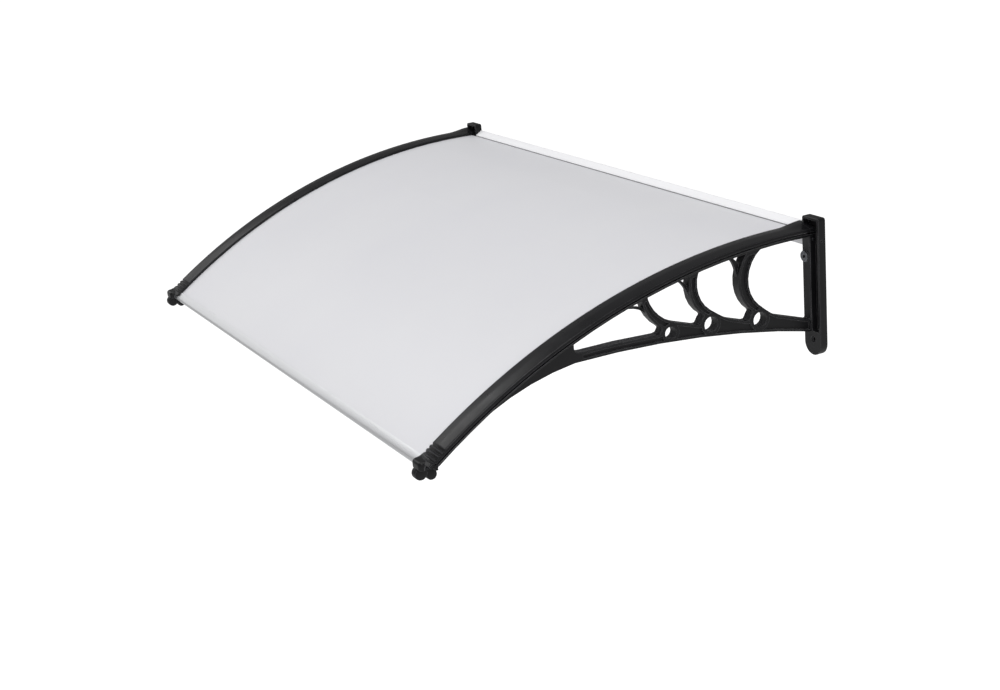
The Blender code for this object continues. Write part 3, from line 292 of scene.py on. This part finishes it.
def sealRubber(name, look):
    # Extruded EPDM rubber: matt mid grey, paler where dust lies on it
    material, tree, place = newMaterial(name)
    dust = addNode(tree, "ShaderNodeTexNoise", {"Scale": 1 / look["dustSize"], "Detail": 4.0},
                   {"Vector": place}).outputs["Fac"]
    colour = addNode(tree, "ShaderNodeMix",
                     {"data_type": "RGBA", 6: linearColour(look["colour"]),
                      7: linearColour(look["dustColour"])},
                     {"Factor": dust})
    bump = addNode(tree, "ShaderNodeBump",
                   {"Strength": look["dustStrength"], "Distance": look["dustDepth"]},
                   {"Height": dust})
    shader = addNode(tree, "ShaderNodeBsdfPrincipled",
                     {"IOR": look["ior"], "Roughness": look["roughness"]},
                     {"Base Color": colour.outputs[2], "Normal": bump.outputs["Normal"]})
    addNode(tree, "ShaderNodeOutputMaterial", links={"Surface": shader.outputs["BSDF"]})
    return material


# the cover strips are smoother than the brackets, and carry a wider painted highlight on their
# arrises
coverLook = {**blackPlasticLook, "roughness": (0.25, 0.36), "edgeWidth": 0.0012,
             "arrisHighlightColour": "#76767a"}
# painted light: a paler, less metallic copy of the bars' aluminium, so that the rear bar looks
# nearly white
rearBarPaintedLightLook = {**aluminiumLook, "colour": "#f4f4f6", "darkColour": "#eeeef0",
               "roughness": (0.41, 0.51), "metallic": 0.15}
# brighter zinc, with a wide painted highlight at the rims
washerLook = {**zincLook, "colour": "#7c7e82", "dullColour": "#5c5e62",
              "rimWearAndHighlightColour": "#e4e6e9", "edgeWidth": 0.0012}

bracketPlastic = mouldedBlackAbs("moulded_black_abs", blackPlasticLook)
coverPlastic = mouldedBlackAbs("moulded_black_abs_cover", coverLook)
finishOf = {
    # by the longest of these words that a node's name holds
    "bracket": bracketPlastic,
    "cover_strip": coverPlastic,
    "roof_sheet": frostedPolycarbonate("frosted_polycarbonate_sheet", sheetLook),
    "bar": anodisedAluminium("satin_anodised_aluminium", aluminiumLook),
    "rear_bar": anodisedAluminium("anodised_aluminium_painted_paler", rearBarPaintedLightLook),
    "gasket": sealRubber("extruded_epdm_rubber", rubberLook),
    "screw": zincPlatedSteel("black_zinc_plated_steel", zincLook),
    "washer": zincPlatedSteel("zinc_plated_steel_painted_rim_highlight", washerLook),
}
print("materials made")


# Finishes on the canopy's own nodes

smoothing = {
    "weld": 0.00002,                # joins the corners that the import leaves apart
    "sharpAngle": radians(28),      # edges sharper than this stay crisp
}


def smoothingGroup(settings):
    # geometry nodes that shade arcs smooth and keep arrises crisp
    group = bpy.data.node_groups.new("smooth_by_angle", "GeometryNodeTree")
    for direction in ("INPUT", "OUTPUT"):
        group.interface.new_socket("Geometry", in_out=direction, socket_type="NodeSocketGeometry")
    start = addNode(group, "NodeGroupInput")
    weld = addNode(group, "GeometryNodeMergeByDistance", {"Distance": settings["weld"]},
                   {"Geometry": start.outputs["Geometry"]})
    soft = addNode(group, "GeometryNodeSetShadeSmooth", {"domain": "FACE", "Shade Smooth": True},
                   {0: weld.outputs["Geometry"]})
    angle = addNode(group, "GeometryNodeInputMeshEdgeAngle")
    sharp = addNode(group, "FunctionNodeCompare",
                    {"data_type": "FLOAT", "operation": "GREATER_THAN", 1: settings["sharpAngle"]},
                    {0: angle.outputs["Unsigned Angle"]})
    crisp = addNode(group, "GeometryNodeSetShadeSmooth", {"domain": "EDGE", "Shade Smooth": False},
                    {0: soft.outputs[0], "Selection": sharp.outputs["Result"]})
    addNode(group, "NodeGroupOutput", links={"Geometry": crisp.outputs[0]})
    return group


smoothByAngle = smoothingGroup(smoothing)


def shadeSmooth(piece):
    piece.modifiers.new("smooth_shading", "NODES").node_group = smoothByAngle


for name, node in nodes.items():
    finish = finishOf[max((word for word in finishOf if word in name), key=len)]
    for slot in node.material_slots:
        slot.material = finish
    if not node.material_slots:
        node.data.materials.append(finish)
    shadeSmooth(node)
print("finishes set on the nodes")


# The arch that strips and sheet follow

arch = {
    "radius": 1.154,                # of the strips' edges
    "crest": 0.060,                 # from the wall to the highest point
    "sheetFront": 0.7325,           # from the wall to the sheet's front edge
    "sheetMiddle": 0.0068,          # the sheet's middle below the strips' edges
}
sheetRadius = arch["radius"] - arch["sheetMiddle"]
frontAngle = asin((arch["sheetFront"] - arch["crest"]) / sheetRadius)
sheetEdgeZ = -arch["radius"] + sheetRadius * cos(frontAngle)
frontRun = arch["radius"] * frontAngle      # along the arch, from crest to front edge


def onArch(run, rise):
    # distance from the wall and height, a run along the arch from its crest
    angle = run / arch["radius"]
    reach = arch["radius"] + rise
    return arch["crest"] + reach * sin(angle), -arch["radius"] + reach * cos(angle)


def runAt(distance):
    return arch["radius"] * asin((distance - arch["crest"]) / arch["radius"])


def smoothStep(value):
    t = min(1.0, max(0.0, value))
    return t * t * (3 - 2 * t)


# Cover strips

strip = {
    "width": 0.0415,
    "thickness": 0.005,
    "overhang": 0.0035,             # of the solid strip's nose cap past the strip's left edge
    "frontThickness": 0.0026,       # over the front bar's lip
    "frontThin": 0.0111,            # length of that thin end
    "frontReach": 0.001,            # into the hood
    "ridgeRise": 0.0019,            # its top is a low roof
    "ridgePower": 1.35,             # 1 is a sharp roof, 2 a round one
    "edgeRound": 0.0009,
    "edgePoints": ((0.0, 1.0), (0.3, 0.3)),    # inwards and down, as shares of edgeRound
    "topPoints": 14,
    "rearEnd": 0.0165,              # from the wall
    "step": 0.012,                  # between rings on the plain stretch
    "fineStep": 0.00045,            # and in the grip grooves
    "rearSteps": 16,
    "grooves": 4,
    "groovePitch": 0.00775,
    "grooveToFront": 0.0084,        # from the first groove's middle to the sheet's front edge
    "grooveHalf": 0.0024,           # half its width
    "grooveDepth": 0.0017,
    "groovePower": 0.8,             # under 1 makes a wide floor
    "lipRise": 0.0005,              # of the ridges beside the grooves
    "lipWidth": 0.6,                # as a share of grooveHalf
    "gripLength": 0.038,            # the stretch with fine rings
    "wedgeStart": 0.060,            # the raised rear end, from the wall
    "wedgeLength": 0.056,
    "wedgeRise": 0.0062,
    "wedgeHollow": 1.4,             # over 1 hollows its slope
    "wedgeFade": (0.010, 0.030, 0.8),    # across the strip: start, length, share lost
    "tongueX": (0.0222, 0.0412),    # its sides, from the strip's left edge
    "tongueEnd": 0.0052,            # from the wall
    "overBarX": (0.0003, 0.0176),
    "overBarEnd": 0.0062,           # from the wall
    "endOverlap": 0.0004,           # of tongue and bar end with the strip
    "endSteps": 4,
    "barLipSlope": 0.61,
    "barLipTop": (0.015, -0.0023),  # distance from the wall, and height
}


def wedgeTop(settings, x, distance):
    # height of the raised rear end, which fades across the strip
    start, length, share = settings["wedgeFade"]
    wedge = smoothStep((settings["wedgeStart"] - distance) / settings["wedgeLength"])
    wedge = wedge ** settings["wedgeHollow"] * settings["wedgeRise"]
    return wedge * (1 - share * smoothStep((x - start) / length))


def grooveCut(settings, run):
    # depth of the nearest grip groove, less than nothing on the lips beside it
    back = frontRun - run - settings["grooveToFront"]
    number = min(settings["grooves"] - 1, max(0, round(back / settings["groovePitch"])))
    away = abs(back - number * settings["groovePitch"]) / settings["grooveHalf"]
    if away < 1:
        return settings["grooveDepth"] * (0.5 + 0.5 * cos(pi * away)) ** settings["groovePower"]
    if away < 1 + settings["lipWidth"]:
        return -settings["lipRise"] * sin(pi * (away - 1) / settings["lipWidth"])
    return 0.0


def stripTop(settings, x, run):
    # height of a strip's top above the arch
    half = settings["width"] / 2
    roof = settings["ridgeRise"] * (1 - abs((x - half) / half) ** settings["ridgePower"])
    return roof + wedgeTop(settings, x, onArch(run, 0)[0]) - grooveCut(settings, run)


def stripRing(settings, run, sides, bottom):
    left, right = sides
    bend = settings["edgeRound"]
    rounded = [(bend * inwards, bend * down) for inwards, down in settings["edgePoints"]]
    tops = [(left + inwards, down) for inwards, down in rounded]
    tops += [(x, 0.0) for x in spread(left + bend, right - bend, settings["topPoints"])]
    tops += [(right - inwards, down) for inwards, down in reversed(rounded)]
    places = [(x, stripTop(settings, x, run) - down) for x, down in tops]
    return [(x, *onArch(run, rise)) for x, rise in [(left, bottom), *places, (right, bottom)]]


def stripRings(settings):
    front = frontRun + settings["frontReach"]
    grip = front - settings["gripLength"]
    rear, wedge = runAt(settings["rearEnd"]), runAt(settings["wedgeStart"])
    plainSteps = round((grip - wedge) / settings["step"])
    gripSteps = round(settings["gripLength"] / settings["fineStep"])
    runs = spread(rear, wedge, settings["rearSteps"])[:-1]
    runs += spread(wedge, grip, plainSteps)[:-1] + spread(grip, front, gripSteps)
    rings = []
    for run in runs:
        thin = run >= front - settings["frontThin"]
        bottom = -settings["frontThickness" if thin else "thickness"]
        rings.append(stripRing(settings, run, (0.0, settings["width"]), bottom))
    return rings


def tongueRings(settings):
    # the narrow end that goes on into the wall plate's pocket
    first = runAt(settings["rearEnd"] + settings["endOverlap"])
    last = runAt(settings["tongueEnd"])
    return [stripRing(settings, run, settings["tongueX"], -settings["thickness"])
            for run in spread(first, last, settings["endSteps"])]


def overBarRings(settings):
    # the end that runs over the rear bar, with its underside clear of the bar's sloping lip
    first, last = settings["rearEnd"] + settings["endOverlap"], settings["overBarEnd"]
    lipDistance, lipTop = settings["barLipTop"]
    rings = []
    for distance in spread(first, last, settings["endSteps"]):
        run = runAt(distance)
        under = lipTop + settings["barLipSlope"] * (lipDistance - distance)
        rings.append(stripRing(settings, run, settings["overBarX"], under - onArch(run, 0)[1]))
    return rings


# Hoods at the front of the strips

hood = {
    "x": (-0.0015, 0.0270),         # its sides, from the strip's left edge
    "cornerRound": 0.0062,          # seen from above
    "edgeRound": 0.0028,            # of its ends, seen from the front
    "front": 0.0146,                # in front of the sheet's front edge
    "bend": 0.0056,                 # radius between top and front
    "bendZ": 0.0034,                # of that radius's centre
    "bendAngles": (72, 54, 36, 18, 0),
    # forwards of the sheet's front edge and up, from the strip to the bend
    "top": ((-0.0080, 0.0104), (-0.0052, 0.0126), (-0.0010, 0.0104), (0.0045, 0.0090)),
    "lipZ": -0.0046,                # its lowest edge, from the sheet's front edge
    "lipBevel": 0.0012,
    "wall": 0.0030,
    "innerZ": 0.0018,               # where the inside of the front wall ends
    "innerBevel": (0.0020, 0.0042),     # back from there, and height
    "ceiling": (0.0035, 0.0060),
    "ceilingShare": 0.7,            # of the ends' rounding that reaches the ceiling
    "rear": (-0.0075, 0.0090),
    "endSteps": 8,
}


def hoodRing(settings, x):
    first, last = settings["x"]
    near = min(x - first, last - x)

    def drawnIn(radius):
        # how far a round corner of that radius draws the outline in here
        return radius - sqrt(radius ** 2 - max(0.0, radius - near) ** 2)

    front = settings["front"] - drawnIn(settings["cornerRound"])
    low = drawnIn(settings["edgeRound"])
    bend, bendZ = settings["bend"], settings["bendZ"]
    lip, bevel = settings["lipZ"], settings["lipBevel"]
    inner = front - settings["wall"]
    bevelBack, bevelTop = settings["innerBevel"]
    ceiling, ceilingTop = settings["ceiling"]
    # the first point joins the strip and stays at its height
    ring = [settings["top"][0]] + [(d, z - low) for d, z in settings["top"][1:]]
    for angle in map(radians, settings["bendAngles"]):
        ring.append((front - bend + bend * cos(angle), bendZ - low + bend * sin(angle)))
    ring += [(front, lip + bevel), (front - bevel, lip), (inner, lip),
             (inner, settings["innerZ"] - low), (inner - bevelBack, bevelTop - low),
             (ceiling, ceilingTop - low * settings["ceilingShare"]), settings["rear"]]
    return [(x, arch["sheetFront"] + d, sheetEdgeZ + z) for d, z in ring]


def hoodRings(settings):
    first, last = settings["x"]
    bend, count = settings["cornerRound"], settings["endSteps"]
    ends = [bend * (1 - cos(pi / 2 * i / count)) for i in range(count + 1)]
    places = [first + end for end in ends] + [last - end for end in reversed(ends)]
    return [hoodRing(settings, x) for x in places]


# Web behind the right nose, where the photograph shows the rail going on to the lobes

noseWeb = {
    "x": (0.0158, 0.0372),          # its sides, from the strip's left edge
    "run": (-0.0122, -0.0028),      # along the sheet, from its front edge
    "drop": (0.0020, 0.0108),       # below the sheet's middle
    "rearDrop": 0.0035,             # of its rear side, below its top
    "rearFoot": 0.0068,             # its lowest point at the rear, from its rear side
    "round": 0.0045,
    "roundAngles": (-90, -60, -30, 0),
    "edge": 0.0008,                 # bevel of its sides
}


def noseWebRings(settings):
    first, last = settings["run"]
    high, low = (-drop for drop in settings["drop"])
    start, end = settings["x"]
    bend, edge, rings = settings["round"], settings["edge"], []
    for x, inset in ((start, edge), (start + edge, 0), (end - edge, 0), (end, edge)):
        loop = [(first + inset, high - inset), (first + inset, high - settings["rearDrop"]),
                (first + settings["rearFoot"], low + inset)]
        for angle in map(radians, settings["roundAngles"]):
            loop.append((last - bend + (bend - inset) * cos(angle),
                         low + bend + (bend - inset) * sin(angle)))
        loop.append((last - inset, high - inset))
        rings.append([(x, arch["sheetFront"] + u * cos(frontAngle) + v * sin(frontAngle),
                       sheetEdgeZ - u * sin(frontAngle) + v * cos(frontAngle)) for u, v in loop])
    return rings


# Strips, hoods and web put in place

def buildLofts(name, side, lofts, material, replaced=None):
    # rings measured from a strip's left edge, as one piece in the scene
    solid = nodes[side + "_cover_strip"]
    corners = [solid.matrix_world @ Vector(corner) for corner in solid.bound_box]
    edge = min(corner.x for corner in corners) + strip["overhang"]
    lofts = [[[(edge + x, -d, z) for x, d, z in ring] for ring in rings] for rings in lofts]
    mesh = loftedMesh(name, lofts)
    made = bpy.data.objects.new(name, mesh)
    bpy.context.scene.collection.objects.link(made)
    mesh.materials.append(material)
    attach(made, "root")
    if replaced:
        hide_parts(replaced)
    shadeSmooth(made)


for side in ("left", "right"):
    stripLofts = [stripRings(strip), tongueRings(strip), overBarRings(strip), hoodRings(hood)]
    buildLofts(side + "_moulded_cover_strip", side, stripLofts, coverPlastic,
               side + "_cover_strip")
buildLofts("right_nose_web", "right", [noseWebRings(noseWeb)], bracketPlastic)
print("cover strips and nose web built")


# Stage: floor, world, lamps and camera

stage = {
    "floorZ": -2.25,                # the canopy hangs over a door
    "floorSize": 60.0,
    "floorColour": "#e9e9e9",
    "floorGlow": 0.62,              # added where the camera sees the floor
    "skyLight": 0.76,               # what the world gives to matt surfaces
    "mirroredSky": 0.24,            # and to glossy ones: the studio's walls are dark
    "lamps": (
        # name, place, aim, size, watts
        ("key_softbox", (0.6, -1.6, 3.9), (0, -0.35, -0.05), 2.6, 78),
        ("fill_softbox", (3.6, -1.2, 1.4), (0, -0.35, -0.05), 2.2, 30),
        ("side_softbox", (-3.0, -1.5, 0.8), (0, -0.7, -0.2), 1.6, 5.5),
        ("front_softbox", (-2.9, -1.6, 2.7), (0.3, -0.7, -0.2), 1.5, 18),
    ),
}


def paintedFloor(name, settings):
    # Painted board: matt and pale, with a glow that only the camera sees
    material, tree, place = newMaterial(name)
    mottle = addNode(tree, "ShaderNodeTexNoise", {"Scale": 0.6, "Detail": 2.0}, {"Vector": place})
    rough = addNode(tree, "ShaderNodeMapRange", {"To Min": 0.75, "To Max": 0.85},
                    {"Value": mottle.outputs["Fac"]})
    matt = addNode(tree, "ShaderNodeBsdfPrincipled",
                   {"Base Color": linearColour(settings["floorColour"]), "Specular IOR Level": 0.1},
                   {"Roughness": rough.outputs["Result"]})
    path = addNode(tree, "ShaderNodeLightPath")
    strength = addNode(tree, "ShaderNodeMath",
                       {"operation": "MULTIPLY", 1: settings["floorGlow"]},
                       {0: path.outputs["Is Camera Ray"]})
    glow = addNode(tree, "ShaderNodeEmission", links={"Strength": strength.outputs["Value"]})
    both = addNode(tree, "ShaderNodeAddShader",
                   links={0: matt.outputs["BSDF"], 1: glow.outputs["Emission"]})
    addNode(tree, "ShaderNodeOutputMaterial", links={"Surface": both.outputs["Shader"]})
    return material


def buildFloor(settings):
    half = settings["floorSize"] / 2
    corners = [(-half, -half), (half, -half), (half, half), (-half, half)]
    mesh = bpy.data.meshes.new("studio_floor")
    mesh.from_pydata([(x, y, settings["floorZ"]) for x, y in corners], [], [(0, 1, 2, 3)])
    mesh.materials.append(paintedFloor("pale_studio_floor", settings))
    floor = bpy.data.objects.new("studio_floor", mesh)
    bpy.context.scene.collection.objects.link(floor)


def buildWorld(settings):
    # white to the camera and through the sheet, dimmer as light, dimmest in reflections
    world = bpy.data.worlds.new("studio_world")
    world.use_nodes = True
    tree = world.node_tree
    tree.nodes.clear()
    path = addNode(tree, "ShaderNodeLightPath")
    seen = addNode(tree, "ShaderNodeMath", {"operation": "MAXIMUM"},
                   {0: path.outputs["Is Camera Ray"], 1: path.outputs["Is Transmission Ray"]})
    lit = addNode(tree, "ShaderNodeMapRange", {"To Min": settings["skyLight"], "To Max": 1.0},
                  {"Value": seen.outputs["Value"]})
    dimming = settings["mirroredSky"] - settings["skyLight"]
    strength = addNode(tree, "ShaderNodeMath", {"operation": "MULTIPLY_ADD", 1: dimming},
                       {0: path.outputs["Is Glossy Ray"], 2: lit.outputs["Result"]})
    sky = addNode(tree, "ShaderNodeBackground", links={"Strength": strength.outputs["Value"]})
    addNode(tree, "ShaderNodeOutputWorld", links={"Surface": sky.outputs["Background"]})
    bpy.context.scene.world = world


def buildLamps(settings):
    for name, place, aim, size, watts in settings["lamps"]:
        data = bpy.data.lights.new(name, "AREA")
        data.shape = "SQUARE"
        data.size = size
        data.energy = watts
        lamp = bpy.data.objects.new(name, data)
        lamp.location = place
        lamp.rotation_euler = (Vector(aim) - Vector(place)).to_track_quat("-Z", "Y").to_euler()
        bpy.context.scene.collection.objects.link(lamp)


photoCamera = {
    "place": (2.634, -1.6548, 0.7162),
    "right": (0.4845, 0.87071, -0.08437),
    "forward": (-0.84029, 0.4364, -0.32166),
    "lens": 58.589,                 # mm
    "sensor": 36,                   # mm wide
    "clip": (0.05, 100),
}


def buildCamera(settings):
    data = bpy.data.cameras.new("photo_camera")
    data.sensor_width = settings["sensor"]
    data.lens = settings["lens"]
    data.clip_start, data.clip_end = settings["clip"]
    made = bpy.data.objects.new("photo_camera", data)
    across = Vector(settings["right"]).normalized()
    ahead = Vector(settings["forward"]).normalized()
    up = (-ahead).cross(across).normalized()
    turn = Matrix((across, up, -ahead)).transposed().to_4x4()
    made.matrix_world = Matrix.Translation(settings["place"]) @ turn
    bpy.context.scene.collection.objects.link(made)
    bpy.context.scene.camera = made


buildFloor(stage)
buildWorld(stage)
buildLamps(stage)
buildCamera(photoCamera)
bpy.context.scene.view_settings.view_transform = "Standard"
print("stage, lamps and camera set")
